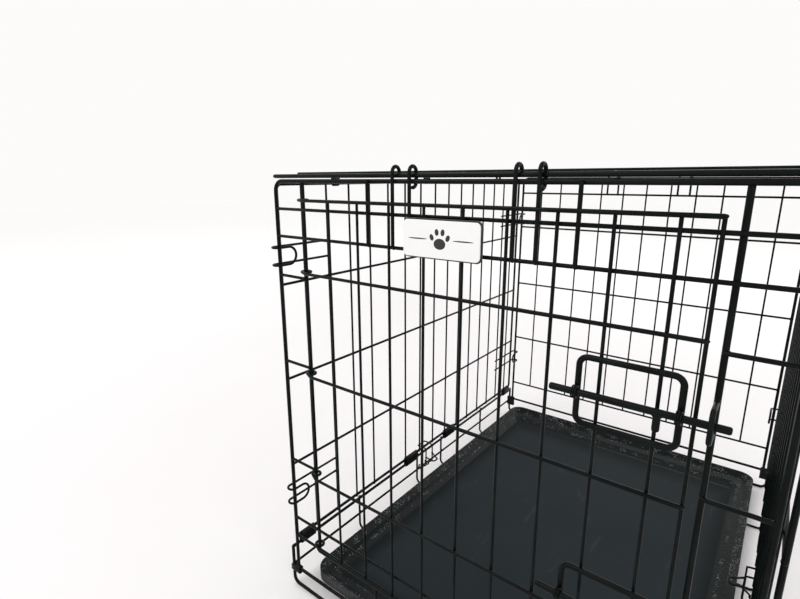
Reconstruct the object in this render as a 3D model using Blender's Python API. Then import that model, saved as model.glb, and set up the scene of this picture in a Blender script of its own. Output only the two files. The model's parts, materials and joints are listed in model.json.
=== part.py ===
"""Wire dog crate for a small dog: welded wire walls on a wire base, with a plastic pan.

Metres, +Z up. X runs across the crate, Y along it from the door end to the back end, and the
origin is under the middle of the base, on the surface that the crate stands on.
"""

import math

import bmesh
import bpy
from mathutils import Vector

# Overall sizes, measured between the centres of the end walls' corner posts.
WIDTH = 0.448
LENGTH = 0.604
END_WALL_TOP = 0.500
SIDE_WALL_TOP = 0.497
FRONT_HINGE_HEIGHT = 0.024
BACK_HINGE_HEIGHT = 0.033

# Wire radii.
POST_R = 0.0020
BAR_R = 0.0016
THIN_R = 0.0013
DOOR_WIRE_R = 0.0013
CATCH_R = 0.0014
LOCK_R = 0.0012
BRACKET_R = 0.0022
BOLT_R = 0.0025

# How deep two crossing wires sink into each other, and the gap between parts that move.
WELD = 0.0004
CLEARANCE = 0.0009
SIDES = 6

# Side walls.
SIDE_OFFSET = 0.0072
SIDE_BOTTOM = 0.062
SIDE_RAIL_HEIGHTS = (0.388, 0.276, 0.1655)
SIDE_BAYS = 16
SIDE_CORNER_R = 0.006
SIDE_END_GAP = 0.0063
CATCH_HEIGHTS = ((0.4310, 0.4120), (0.1400, 0.1210))
CATCH_STUB_BAYS = 2
CATCH_REACH = 0.0066
CATCH_BOW = 0.019

# End walls.
END_CORNER_R = 0.010
END_BOTTOM_R = 0.003
JAMB_INSET = 0.0392
JAMB_SETBACK = 0.0022
HEADER_HEIGHTS = (0.4720, 0.4435)
SILL_HEIGHTS = (0.0995, 0.0735)
STUB_HEIGHTS = (0.4015, 0.3030, 0.1790)
HEADER_STUB_SHARE = 0.4174
HOOK_SHARE = 0.2897
HOOK_SPLIT_SHARE = 0.0799
HOOK_PLAY = 0.0012
HOOK_RISE = 0.0025
EYE_DROP = 0.0002
SILL_STUB_BAYS = 4
BACK_RAIL_HEIGHTS = (0.472, 0.406, 0.291, 0.1745, 0.072)
BACK_BAYS = 12

# Door.
DOOR_TOP = 0.4815
DOOR_RAIL_HEIGHTS = (0.4085, 0.2963, 0.1728)
DOOR_BOTTOM = 0.0785
DOOR_WIRES = 9
DOOR_FIRST_WIRE = 0.0425
DOOR_STEP = 0.00115
DOOR_LAST_GAP = 0.0223
DOOR_EDGE_GAP = 0.0088
CURL_LEAD = 0.0085

# Bolts, the loops that carry them and the staples that they slide into.
BOLT_HEIGHTS = {"upper": 0.3595, "lower": 0.1920}
BRACKET_WIDTH = 0.064
BRACKET_HEIGHT = 0.049
BRACKET_EDGE_GAP = 0.0085
BRACKET_CORNER_R = 0.006
EYE_WALL = 0.0012
EYE_LENGTH = 0.004
BOLT_TAIL = 0.018
BOLT_NOSE = 0.0115
GRIP_DROP = 0.013
GRIP_INSET = 0.012
STAPLE_HEIGHT = 0.021
STAPLE_BEND_R = 0.004

# Sign plate.
SIGN_WIDTH = 0.0725
SIGN_HEIGHT = 0.0302
SIGN_THICKNESS = 0.0018
SIGN_BACK_THICKNESS = 0.0012
SIGN_BORDER = 0.0012
SIGN_X = -0.0123
SIGN_Z = 0.4551
SIGN_CORNER_R = 0.004

# Top panel and its hinge rings.
TOP_GAP = 0.0029
TOP_CORNER_R = 0.008
TOP_RUNNERS = 3
HINGE_RING_BAYS = (2, 7, 13)
HINGE_RING_LENGTH = 0.008

# Base frame.
BASE_RAIL = 0.053
BASE_MID_RAIL = 0.028
BASE_END_REACH = 0.0014
BASE_UPRIGHT_BAYS = (0.954, 4.715)
BASE_BEND_R = 0.008
FLOOR_RUNNERS = 5

# Sleeves that join the side walls to the base.
MID_SLEEVE_SHARE = 0.79
MID_SLEEVE_BAY = 1.5
SLEEVE_END_GAP = 0.0022
SLEEVE_GAP = 0.0007
SLEEVE_WALL = 0.0010

# Hinge clips that join the end walls to the base.
CLIP_PLATE = 0.0030
CLIP_LEVEL = 0.0172
CLIP_WIDTH = 0.0018
CLIP_MARGIN = 0.0044

# Pan.
PAN_SIDE_GAP = 0.0100
PAN_FRONT_GAP = 0.0150
PAN_BACK_GAP = 0.0030
PAN_LIFT = 0.0005
PAN_HEIGHT = 0.0147
PAN_WALL = 0.0022
PAN_LIP = 0.0030
PAN_LEDGE_DROP = 0.0067
PAN_LEDGE_START = 0.0100
PAN_LEDGE_END = 0.0180
PAN_FLOOR_START = 0.0260
PAN_BACK_STRETCH = 1.8
PAN_CORNER_R = 0.034

# Side locks.
LOCK_WIDTH = 0.018
LOCK_BAY = 7.45
LOCK_HOOK_R = 0.0385
LOCK_LEG_OFFSET = 0.0108
LOCK_TIP_ANGLE = 8
LOCK_FINGER_LENGTH = 0.014
LOCK_FINGER_HEIGHT = 0.022

HALF_W = WIDTH / 2
HALF_L = LENGTH / 2
FRONT = -HALF_L
BACK = HALF_L
SIDE_X = HALF_W + SIDE_OFFSET
TOP_Z = END_WALL_TOP + POST_R + TOP_GAP
BAY = LENGTH / SIDE_BAYS
HEADER_STUB_OFFSET = HEADER_STUB_SHARE * HALF_W
HOOK_OFFSET = HOOK_SHARE * HALF_W
HOOK_SPLIT = HOOK_SPLIT_SHARE * HALF_W
HOOK_BEND_R = POST_R + BAR_R + HOOK_PLAY
JAMB_X = HALF_W - JAMB_INSET
JAMB_Y = FRONT + JAMB_SETBACK
BAR_OFFSET = 0.00015
HEADER_WIRE_OFFSET = POST_R + BAR_R - WELD
TOP_SETBACK = HOOK_BEND_R - HEADER_WIRE_OFFSET
DOOR_WIRE_Y = FRONT - HEADER_WIRE_OFFSET - DOOR_STEP
DOOR_RAIL_Y = DOOR_WIRE_Y - DOOR_WIRE_R - BAR_R + WELD
DOOR_EDGE_X = JAMB_X - DOOR_EDGE_GAP
DOOR_WIRE_PITCH = (DOOR_EDGE_X + JAMB_X - DOOR_FIRST_WIRE - DOOR_LAST_GAP) / (DOOR_WIRES - 1)
BRACKET_Y = DOOR_WIRE_Y - DOOR_WIRE_R - BRACKET_R + WELD
BRACKET_RIGHT = DOOR_EDGE_X - BRACKET_EDGE_GAP
BRACKET_LEFT = BRACKET_RIGHT - BRACKET_WIDTH
BOLT_Y = BRACKET_Y - BRACKET_R - BOLT_R - CLEARANCE
FLOOR_TOP = 4 * BAR_R - WELD
MID_CROSS_REACH = HALF_W * (FLOOR_RUNNERS - 1) / (FLOOR_RUNNERS + 1) + 0.006

X, Y, Z = Vector((1, 0, 0)), Vector((0, 1, 0)), Vector((0, 0, 1))

COATED_WIRE = ((0.012, 0.013, 0.013, 1), 0.35, 0.0)
DARK_STEEL = ((0.04, 0.04, 0.04, 1), 0.35, 0.8)
PAN_PLASTIC = ((0.020, 0.021, 0.023, 1), 0.5, 0.0)
WHITE_PLASTIC = ((0.86, 0.86, 0.85, 1), 0.4, 0.0)
BLACK_PLASTIC = ((0.02, 0.02, 0.02, 1), 0.5, 0.0)


def clear_scene():
    for item in list(bpy.data.objects):
        bpy.data.objects.remove(item, do_unlink=True)


def finish_material(name, finish):
    made = bpy.data.materials.new(name)
    made.use_nodes = True
    shader = made.node_tree.nodes["Principled BSDF"]
    shader.inputs["Base Color"].default_value = finish[0]
    shader.inputs["Roughness"].default_value = finish[1]
    shader.inputs["Metallic"].default_value = finish[2]
    return made


def sweep(bm, points, radius, closed=False, up=Z, sides=SIDES):
    """A wire of one thickness along points. One of its flats faces up where it starts."""
    points = [Vector(point) for point in points]
    count = len(points)
    pairs = count if closed else count - 1
    steps = [(points[(i + 1) % count] - points[i]).normalized() for i in range(pairs)]
    heading = steps[-1] if closed else steps[0]
    across = (up - heading * up.dot(heading)).normalized()
    corner = radius / math.cos(math.pi / sides)
    rings = []
    for i, point in enumerate(points):
        after = steps[min(i, pairs - 1)]
        side = heading.cross(across)
        plane = heading + after
        ring = []
        for k in range(sides):
            angle = math.tau * (k + 0.5) / sides
            spoke = corner * (math.cos(angle) * across + math.sin(angle) * side)
            spoke -= heading * (spoke.dot(plane) / heading.dot(plane))
            ring.append(bm.verts.new(point + spoke))
        rings.append(ring)
        across = heading.rotation_difference(after) @ across
        heading = after
    for i in range(pairs):
        here, there = rings[i], rings[(i + 1) % count]
        for k in range(sides):
            bm.faces.new((here[k], here[(k + 1) % sides], there[(k + 1) % sides], there[k]))
    if not closed:
        bm.faces.new(rings[0][::-1])
        bm.faces.new(rings[-1])


def loft(bm, rings, looped=False):
    """Joins rings of points that all have the same count, and caps the ends or joins them up."""
    made = [[bm.verts.new(point) for point in ring] for ring in rings]
    count = len(made[0])
    for i in range(len(made) if looped else len(made) - 1):
        here, there = made[i], made[(i + 1) % len(made)]
        for k in range(count):
            bm.faces.new((here[k], here[(k + 1) % count], there[(k + 1) % count], there[k]))
    if not looped:
        bm.faces.new(made[0][::-1])
        bm.faces.new(made[-1])


def arc(centre, radius, start, end, steps, along, across):
    """Points round centre from start to end degrees, where 0 is along and 90 is across."""
    centre = Vector(centre)
    points = []
    for step in range(steps + 1):
        angle = math.radians(start + (end - start) * step / steps)
        points.append(centre + radius * (math.cos(angle) * along + math.sin(angle) * across))
    return points


def rounded_loop(low, high, middle, low_r, high_r, u, v, steps=3):
    """A rectangle with round corners in the plane of u and v, from low to high, through middle."""
    corners = (
        (high[0] - low_r, low[1] + low_r, low_r, -90),
        (high[0] - high_r, high[1] - high_r, high_r, 0),
        (low[0] + high_r, high[1] - high_r, high_r, 90),
        (low[0] + low_r, low[1] + low_r, low_r, 180),
    )
    points = []
    for a, b, radius, start in corners:
        points += arc(Vector(middle) + a * u + b * v, radius, start, start + 90, steps, u, v)
    return points


def finished_mesh(name, bm):
    bmesh.ops.recalc_face_normals(bm, faces=bm.faces)
    mesh = bpy.data.meshes.new(name)
    bm.to_mesh(mesh)
    bm.free()
    mesh.shade_smooth()
    mesh.set_sharp_from_angle(angle=math.radians(40))
    return mesh


def add_object(name, bm, finish):
    made = bpy.data.objects.new(name, finished_mesh(name, bm))
    bpy.context.scene.collection.objects.link(made)
    made.data.materials.append(finish_material(name + "_finish", finish))
    return made


def add_helper(name, bm):
    made = bpy.data.objects.new(name, finished_mesh(name, bm))
    bpy.context.scene.collection.objects.link(made)
    made.hide_render = True
    made.display_type = "WIRE"
    return made


def combine(made, count, operation, helper):
    step = made.modifiers.new(f"{operation.title()} {count}", "BOOLEAN")
    step.operation = operation
    step.solver = "EXACT"
    step.object = helper


def weld(name, finish, *sets):
    """One solid from sets of wires. The wires of one set don't touch each other."""
    made = add_object(name, sets[0], finish)
    for count, other in enumerate(sets[1:]):
        combine(made, count, "UNION", add_helper(f"{name}_set_{count}", other))
    return made


def spaced(low, high, bays):
    return [low + (high - low) * step / bays for step in range(1, bays)]


def add_catch(bm, side, end, heights, stub_x):
    """A spring catch: one wire that goes round the end wall's post and comes back inside as a bow."""
    top, bottom = heights
    root_y = end * (HALF_L - CATCH_STUB_BAYS * BAY - THIN_R)
    inner_x = HALF_W - POST_R - CLEARANCE - CATCH_R
    turn_r = (stub_x - inner_x) / 2
    turn_y = end * (HALF_L + CATCH_REACH - turn_r)
    bow_r = (top - bottom) / 2
    bow_y = end * (HALF_L - CATCH_BOW + bow_r)
    turn_x = side * (stub_x + inner_x) / 2
    points = [Vector((side * stub_x, root_y, top))]
    points += arc((turn_x, turn_y, top), turn_r, 0, 180, 4, side * X, end * Y)
    points += arc((side * inner_x, bow_y, (top + bottom) / 2), bow_r, 90, -90, 4, -end * Y, Z)
    points += arc((turn_x, turn_y, bottom), turn_r, 180, 0, 4, side * X, end * Y)
    points.append(Vector((side * stub_x, root_y, bottom)))
    sweep(bm, points, CATCH_R)


def make_side_wall(name, side):
    """side is -1 for the left wall and 1 for the right one."""
    thin_x = SIDE_X - POST_R - THIN_R + WELD
    rail_x = thin_x + THIN_R + BAR_R - WELD
    y0, y1 = FRONT + SIDE_END_GAP, BACK - SIDE_END_GAP
    frame, thin, rails = bmesh.new(), bmesh.new(), bmesh.new()
    loop = rounded_loop(
        (y0, SIDE_BOTTOM), (y1, SIDE_WALL_TOP), side * SIDE_X * X, SIDE_CORNER_R, SIDE_CORNER_R, Y, Z
    )
    sweep(frame, loop, POST_R, closed=True, up=X)
    for y in spaced(FRONT, BACK, SIDE_BAYS):
        low, high = SIDE_BOTTOM - THIN_R / 2, SIDE_WALL_TOP + THIN_R / 2
        sweep(thin, [(side * thin_x, y, low), (side * thin_x, y, high)], THIN_R, up=X)
    for z in SIDE_RAIL_HEIGHTS:
        sweep(rails, [(side * rail_x, y0, z), (side * rail_x, y1, z)], BAR_R, up=X)
    stub_x = thin_x + THIN_R + CATCH_R - WELD
    for end in (-1, 1):
        for heights in CATCH_HEIGHTS:
            add_catch(rails, side, end, heights, stub_x)
    return weld(name, COATED_WIRE, frame, thin, rails)


def end_wall_frame(y, hinge_height):
    frame = bmesh.new()
    loop = rounded_loop(
        (-HALF_W, hinge_height), (HALF_W, END_WALL_TOP), y * Y, END_BOTTOM_R, END_CORNER_R, X, Z
    )
    sweep(frame, loop, POST_R, closed=True, up=Y)
    return frame


def add_top_hooks(bm, y, out, foot):
    """Two pairs of wires that rise past the top wire and bend over the top panel's end wire."""
    wire_y = y + out * HEADER_WIRE_OFFSET
    middle = Vector((0, wire_y - out * HOOK_BEND_R, TOP_Z + HOOK_RISE))
    low = Vector((0, middle.y, END_WALL_TOP - EYE_DROP))
    for side in (-1, 1):
        places = (HOOK_OFFSET, HOOK_OFFSET - HOOK_SPLIT)
        open_x, eye_x = places if side < 0 else places[::-1]
        over = arc(middle, HOOK_BEND_R, 0, 180, 5, out * Y, Z)
        under = arc(low, HOOK_BEND_R, 180, 285, 3, out * Y, Z)
        start = Vector((0, wire_y, foot))
        for x, points in ((open_x, [start] + over), (eye_x, [start] + over + under)):
            sweep(bm, [point + side * x * X for point in points], BAR_R, up=X)


def make_front_wall():
    bars, uprights, staples = bmesh.new(), bmesh.new(), bmesh.new()
    bar_y = FRONT - BAR_OFFSET
    for z in HEADER_HEIGHTS + SILL_HEIGHTS:
        sweep(bars, [(-HALF_W, bar_y, z), (HALF_W, bar_y, z)], BAR_R, up=Y)
    for side in (-1, 1):
        for z in STUB_HEIGHTS:
            sweep(bars, [(side * HALF_W, bar_y, z), (side * (JAMB_X - 0.0006), bar_y, z)], BAR_R, up=Y)
    foot = HEADER_HEIGHTS[1] - BAR_R / 2
    wire_y = FRONT - HEADER_WIRE_OFFSET
    for side in (-1, 1):
        low = (side * JAMB_X, JAMB_Y, SILL_HEIGHTS[1] - BAR_R / 2)
        sweep(uprights, [low, (side * JAMB_X, JAMB_Y, END_WALL_TOP + POST_R / 2)], POST_R, up=Y)
        x = side * HEADER_STUB_OFFSET
        sweep(uprights, [(x, wire_y, foot), (x, wire_y, END_WALL_TOP + BAR_R)], BAR_R, up=Y)
    for x in spaced(-JAMB_X, JAMB_X, SILL_STUB_BAYS):
        low = (x, wire_y, FRONT_HINGE_HEIGHT - BAR_R / 2)
        sweep(uprights, [low, (x, wire_y, SILL_HEIGHTS[1] + BAR_R / 2)], BAR_R, up=Y)
    add_top_hooks(uprights, FRONT, -1, foot)
    front_y = BOLT_Y - BOLT_R - BAR_R - CLEARANCE
    for z in BOLT_HEIGHTS.values():
        high, low = z + STAPLE_HEIGHT / 2, z - STAPLE_HEIGHT / 2
        points = [Vector((JAMB_X, JAMB_Y, high))]
        middle = (JAMB_X, front_y + STAPLE_BEND_R, high - STAPLE_BEND_R)
        points += arc(middle, STAPLE_BEND_R, 90, 0, 3, -Y, Z)
        middle = (JAMB_X, front_y + STAPLE_BEND_R, low + STAPLE_BEND_R)
        points += arc(middle, STAPLE_BEND_R, 0, -90, 3, -Y, Z)
        points.append(Vector((JAMB_X, JAMB_Y, low)))
        sweep(staples, points, BAR_R, up=X)
    frame = end_wall_frame(FRONT, FRONT_HINGE_HEIGHT)
    return weld("front_wall", COATED_WIRE, frame, bars, uprights, staples)


def make_back_wall():
    rails, thin = bmesh.new(), bmesh.new()
    wire_y = BACK + BAR_OFFSET + BAR_R + THIN_R - WELD
    for z in BACK_RAIL_HEIGHTS:
        sweep(rails, [(-HALF_W, BACK + BAR_OFFSET, z), (HALF_W, BACK + BAR_OFFSET, z)], BAR_R, up=Y)
    for x in spaced(-HALF_W, HALF_W, BACK_BAYS):
        low = (x, wire_y, BACK_RAIL_HEIGHTS[-1] - BAR_R / 2)
        sweep(thin, [low, (x, wire_y, END_WALL_TOP + THIN_R / 2)], THIN_R, up=Y)
    add_top_hooks(thin, BACK, 1, BACK_RAIL_HEIGHTS[0] - BAR_R / 2)
    frame = end_wall_frame(BACK, BACK_HINGE_HEIGHT)
    return weld("back_wall", COATED_WIRE, frame, rails, thin)


def curled_rail(z):
    """A door rail. Its left end curls behind the hinge jamb, so the door turns on that wire."""
    jamb = Vector((-JAMB_X, JAMB_Y, z))
    curl_r = POST_R + CLEARANCE + BAR_R
    lead = Vector((-JAMB_X + CURL_LEAD, DOOR_RAIL_Y, z))
    reach = lead - jamb
    tangent = math.degrees(math.atan2(reach.y, reach.x) - math.acos(curl_r / reach.length))
    points = arc(jamb, curl_r, -25, tangent + 360, 8, X, Y)
    return points + [lead, Vector((DOOR_EDGE_X, DOOR_RAIL_Y, z))]


def tube_ring(bm, middle, inner, outer, length, sides=10):
    """A short tube along X."""
    rings = []
    for x, radius in ((-0.5, inner), (-0.5, outer), (0.5, outer), (0.5, inner)):
        rings.append(arc(Vector(middle) + x * length * X, radius, 0, 360 - 360 / sides, sides - 1, Y, Z))
    loft(bm, rings, looped=True)


def make_door():
    rails, uprights, brackets, eyes = bmesh.new(), bmesh.new(), bmesh.new(), bmesh.new()
    for z in (DOOR_TOP, *DOOR_RAIL_HEIGHTS, DOOR_BOTTOM):
        sweep(rails, curled_rail(z), BAR_R)
    low, high = DOOR_BOTTOM - BAR_R / 2, DOOR_TOP + BAR_R / 2
    for step in range(DOOR_WIRES):
        x = -JAMB_X + DOOR_FIRST_WIRE + DOOR_WIRE_PITCH * step
        sweep(uprights, [(x, DOOR_WIRE_Y, low), (x, DOOR_WIRE_Y, high)], DOOR_WIRE_R, up=Y)
    edge_x = DOOR_EDGE_X - BAR_R / 2
    sweep(uprights, [(edge_x, DOOR_WIRE_Y, low), (edge_x, DOOR_WIRE_Y, high)], DOOR_WIRE_R, up=Y)
    for z in BOLT_HEIGHTS.values():
        loop = rounded_loop(
            (BRACKET_LEFT, z - BRACKET_HEIGHT / 2), (BRACKET_RIGHT, z + BRACKET_HEIGHT / 2),
            BRACKET_Y * Y, BRACKET_CORNER_R, BRACKET_CORNER_R, X, Z,
        )
        sweep(brackets, loop, BRACKET_R, closed=True, up=Y)
        for x in (BRACKET_LEFT, BRACKET_RIGHT):
            bore = BOLT_R + CLEARANCE
            tube_ring(eyes, (x, BOLT_Y, z), bore, bore + EYE_WALL, EYE_LENGTH)
    return weld("door", COATED_WIRE, rails, uprights, brackets, eyes)


def make_bolt(name, z):
    rod, grip = bmesh.new(), bmesh.new()
    tail, nose = BRACKET_LEFT - BOLT_TAIL, JAMB_X + BOLT_NOSE
    sweep(rod, [(tail, BOLT_Y, z), (nose - 0.001, BOLT_Y, z)], BOLT_R)
    grip_x = BRACKET_RIGHT - GRIP_INSET
    sweep(grip, [(grip_x, BOLT_Y, z), (grip_x, BOLT_Y, z - GRIP_DROP)], BOLT_R, up=Y)
    return weld(name, COATED_WIRE, rod, grip)


def make_sign(name, finish, front_y, depth, border):
    width, height = SIGN_WIDTH / 2 + border, SIGN_HEIGHT / 2 + border
    rings = []
    for y in (front_y, front_y + depth):
        middle = Vector((SIGN_X, y, SIGN_Z))
        radius = SIGN_CORNER_R + border
        rings.append(rounded_loop((-width, -height), (width, height), middle, radius, radius, X, Z, 4))
    bm = bmesh.new()
    loft(bm, rings)
    return add_object(name, bm, finish)


def make_top_panel():
    x, y = SIDE_X, HALF_L - TOP_SETBACK
    loop = rounded_loop((-x, -y), (x, y), TOP_Z * Z, TOP_CORNER_R, TOP_CORNER_R, X, Y)
    frame, cross, runners = bmesh.new(), bmesh.new(), bmesh.new()
    sweep(frame, loop, POST_R, closed=True)
    cross_z = TOP_Z + POST_R + THIN_R - WELD
    for place in spaced(FRONT, BACK, SIDE_BAYS):
        ends = [(-x - THIN_R / 2, place, cross_z), (x + THIN_R / 2, place, cross_z)]
        sweep(cross, ends, THIN_R)
    runner_z = cross_z - THIN_R - BAR_R + WELD
    for place in spaced(-HALF_W, HALF_W, TOP_RUNNERS + 1):
        place += 0.0002
        sweep(runners, [(place, -y, runner_z), (place, y, runner_z)], BAR_R)
    return weld("top_panel", COATED_WIRE, frame, cross, runners)


def u_wire(bm, x, y, radius, top):
    """A cross wire under the floor whose ends turn up to the base's side rails."""
    points = [Vector((-x, y, top))]
    points += arc((-x + BASE_BEND_R, y, radius + BASE_BEND_R), BASE_BEND_R, 180, 270, 3, X, Z)
    points += arc((x - BASE_BEND_R, y, radius + BASE_BEND_R), BASE_BEND_R, -90, 0, 3, X, Z)
    points.append(Vector((x, y, top)))
    sweep(bm, points, radius, up=X)


def make_base_frame():
    rails, ends, crosses, runners = bmesh.new(), bmesh.new(), bmesh.new(), bmesh.new()
    end_y = HALF_L + BASE_END_REACH
    for side in (-1, 1):
        for z, radius in ((BASE_RAIL, POST_R), (BASE_MID_RAIL, BAR_R)):
            sweep(rails, [(side * SIDE_X, -end_y, z), (side * SIDE_X, end_y, z)], radius, up=X)
    cross_x = SIDE_X + POST_R + BAR_R - WELD - 0.0001
    for bays in BASE_UPRIGHT_BAYS:
        for side in (-1, 1):
            u_wire(crosses, cross_x, side * bays * BAY, BAR_R, BASE_RAIL + POST_R / 2)
    sweep(crosses, [(-MID_CROSS_REACH, 0, BAR_R), (MID_CROSS_REACH, 0, BAR_R)], BAR_R)
    for end in (-1, 1):
        u_wire(ends, SIDE_X, end * end_y, POST_R, BASE_RAIL + POST_R / 2)
    runner_z = 3 * BAR_R - WELD
    for x in spaced(-HALF_W, HALF_W, FLOOR_RUNNERS + 1):
        sweep(runners, [(x, -end_y - POST_R / 2, runner_z), (x, end_y + POST_R / 2, runner_z)], BAR_R)
    return weld("base_frame", COATED_WIRE, rails, ends, crosses, runners)


def stadium(x, y, low_z, high_z, radius, steps=5):
    points = arc((x, y, high_z), radius, 0, 180, steps, X, Z)
    return points + arc((x, y, low_z), radius, 180, 360, steps, X, Z)


def make_sleeve(name, x, y, low_z, high_z, length, finish):
    """A sheet sleeve along Y that holds two wires, one above the other."""
    inner = POST_R + SLEEVE_GAP
    rings = []
    for shift, radius in ((-0.5, inner), (-0.5, inner + SLEEVE_WALL), (0.5, inner + SLEEVE_WALL), (0.5, inner)):
        rings.append(stadium(x, y + shift * length, low_z, high_z, radius))
    bm = bmesh.new()
    loft(bm, rings, looped=True)
    return add_object(name, bm, finish)


def sleeve_places():
    """Where each sleeve's middle is along Y and how long it is. They lie between upright wires."""
    outer = HALF_L - SIDE_END_GAP - SIDE_CORNER_R + SLEEVE_GAP
    inner = HALF_L - BAY + THIN_R + SLEEVE_END_GAP
    end_y, end_length = (outer + inner) / 2, outer - inner
    mid_y, mid_length = BAY * MID_SLEEVE_BAY, BAY * MID_SLEEVE_SHARE
    return {
        "front": (-end_y, end_length),
        "mid_front": (-mid_y, mid_length),
        "mid_back": (mid_y, mid_length),
        "back": (end_y, end_length),
    }


def box(bm, low, high):
    rings = []
    for z in (low[2], high[2]):
        rings.append([(low[0], low[1], z), (high[0], low[1], z), (high[0], high[1], z), (low[0], high[1], z)])
    loft(bm, rings)


def make_hinge_clip(name, side, end, hinge_height):
    """A clip on the base's corner upright with a ring that the end wall's bottom wire turns in."""
    inner_x = HALF_W - END_BOTTOM_R - CLIP_WIDTH
    ring_x = inner_x + CLIP_WIDTH / 2
    bore = POST_R + SLEEVE_GAP
    plate_top = CLIP_LEVEL + CLIP_PLATE
    upright_y = HALF_L + BASE_END_REACH
    plate, ring, link, hole = bmesh.new(), bmesh.new(), bmesh.new(), bmesh.new()
    xs = sorted((side * inner_x, side * (SIDE_X + CLIP_MARGIN)))
    ys = sorted((end * (HALF_L - CLIP_MARGIN), end * (upright_y + CLIP_MARGIN)))
    box(plate, (xs[0], ys[0], CLIP_LEVEL), (xs[1], ys[1], plate_top))
    tube_ring(ring, (side * ring_x, end * HALF_L, hinge_height), bore, bore + 0.0013, CLIP_WIDTH)
    xs = sorted((side * (inner_x + 0.0003), side * (inner_x + CLIP_WIDTH - 0.0003)))
    link_top = hinge_height - bore - 0.0004
    y = end * HALF_L
    box(link, (xs[0], y - 0.0022, plate_top - 0.001), (xs[1], y + 0.0022, link_top))
    low, high = CLIP_LEVEL - CLIP_PLATE, plate_top + CLIP_PLATE
    sweep(hole, [(side * SIDE_X, end * upright_y, low), (side * SIDE_X, end * upright_y, high)], bore, up=X)
    made = weld(name, DARK_STEEL, plate, link, ring)
    combine(made, 2, "DIFFERENCE", add_helper(name + "_hole", hole))
    return made


def make_pan():
    """A tray with an upright skirt, a stepped rim that slopes to the floor, and a longer slope at the back."""
    half_x, front, back = HALF_W - PAN_SIDE_GAP, FRONT + PAN_FRONT_GAP, BACK - PAN_BACK_GAP
    low = FLOOR_TOP + PAN_LIFT
    top = low + PAN_HEIGHT
    ledge = top - PAN_LEDGE_DROP
    under = ledge - PAN_WALL
    profile = (
        (PAN_FLOOR_START - PAN_WALL / 3, low),
        (PAN_LEDGE_END - PAN_WALL / 2, under),
        (PAN_LEDGE_START - PAN_WALL / 2, under),
        (PAN_WALL, top - PAN_WALL),
        (PAN_WALL, low + PAN_LIFT * 2),
        (0.0, low + PAN_LIFT * 2),
        (0.0, top - 0.0008),
        (0.0008, top),
        (PAN_LIP, top),
        (PAN_LEDGE_START, ledge),
        (PAN_LEDGE_END, ledge - 0.0003),
        (PAN_FLOOR_START, low + PAN_WALL),
    )
    bm = bmesh.new()
    rings = []
    for inset, z in profile:
        stretched = inset + max(0.0, inset - PAN_LIP) * (PAN_BACK_STRETCH - 1)
        x, radius = half_x - inset, PAN_CORNER_R - inset
        rings.append(rounded_loop((-x, front + inset), (x, back - stretched), z * Z, radius, radius, X, Y, 5))
    loft(bm, rings)
    return add_object("pan", bm, PAN_PLASTIC)


def make_side_lock(name, side):
    """A wire latch that turns on the base's mid rail and hooks over the side wall's bottom wire."""
    pivot = Vector((side * SIDE_X, 0, BASE_MID_RAIL))
    eye_r = BAR_R + CLEARANCE + LOCK_R
    leg_x = -side * X
    leg_angle = math.degrees(math.acos(LOCK_LEG_OFFSET / LOCK_HOOK_R))
    middle = FRONT + LOCK_BAY * BAY
    half = LOCK_WIDTH / 2
    leg = arc(pivot, eye_r, -250, 25, 7, leg_x, Z)
    leg.append(pivot + LOCK_LEG_OFFSET * leg_x + 0.007 * Z)
    leg += arc(pivot, LOCK_HOOK_R, leg_angle, 90 + LOCK_TIP_ANGLE, 4, leg_x, Z)
    points = [point + (middle - half) * Y for point in leg]
    points += [point + (middle + half) * Y for point in leg[::-1]]
    hook, finger = bmesh.new(), bmesh.new()
    sweep(hook, points, LOCK_R, up=Y)
    start = pivot + LOCK_LEG_OFFSET * leg_x + LOCK_FINGER_HEIGHT * Z
    reach = start + LOCK_FINGER_LENGTH * leg_x - 0.004 * Z
    loop = [start + (middle - half) * Y, reach + (middle - half + 0.003) * Y]
    loop += [reach + (middle + half - 0.003) * Y, start + (middle + half) * Y]
    sweep(finger, loop, LOCK_R, up=Z)
    return weld(name, COATED_WIRE, hook, finger)


def main():
    clear_scene()
    make_base_frame()
    make_pan()
    make_front_wall()
    make_door()
    for name, z in BOLT_HEIGHTS.items():
        make_bolt("bolt_" + name, z)
    back_y = DOOR_WIRE_Y - DOOR_WIRE_R * 1.2 - 0.0005
    front_y = back_y - SIGN_BACK_THICKNESS - 0.0003
    make_sign("sign_back", BLACK_PLASTIC, back_y - SIGN_BACK_THICKNESS, SIGN_BACK_THICKNESS, SIGN_BORDER)
    make_sign("sign_plate", WHITE_PLASTIC, front_y - SIGN_THICKNESS, SIGN_THICKNESS, 0.0)
    make_back_wall()
    make_top_panel()
    for side, side_name in ((-1, "left"), (1, "right")):
        make_side_wall(side_name + "_wall", side)
        make_side_lock(side_name + "_lock", side)
        for name, (y, length) in sleeve_places().items():
            sleeve_name = f"sleeve_{side_name}_{name}"
            make_sleeve(sleeve_name, side * SIDE_X, y, BASE_RAIL, SIDE_BOTTOM, length, DARK_STEEL)
        for end, end_name, height in ((-1, "front", FRONT_HINGE_HEIGHT), (1, "back", BACK_HINGE_HEIGHT)):
            make_hinge_clip(f"hinge_clip_{side_name}_{end_name}", side, end, height)
    for count, bay in enumerate(HINGE_RING_BAYS):
        y = FRONT + (bay + 0.5) * BAY
        name = f"top_hinge_ring_{count + 1}"
        make_sleeve(name, -SIDE_X, y, SIDE_WALL_TOP, TOP_Z, HINGE_RING_LENGTH, DARK_STEEL)


main()
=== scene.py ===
"""Looks of a folding wire dog crate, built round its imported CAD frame."""

import json
import math

import bmesh
import bpy
from mathutils import Matrix, Vector


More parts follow.
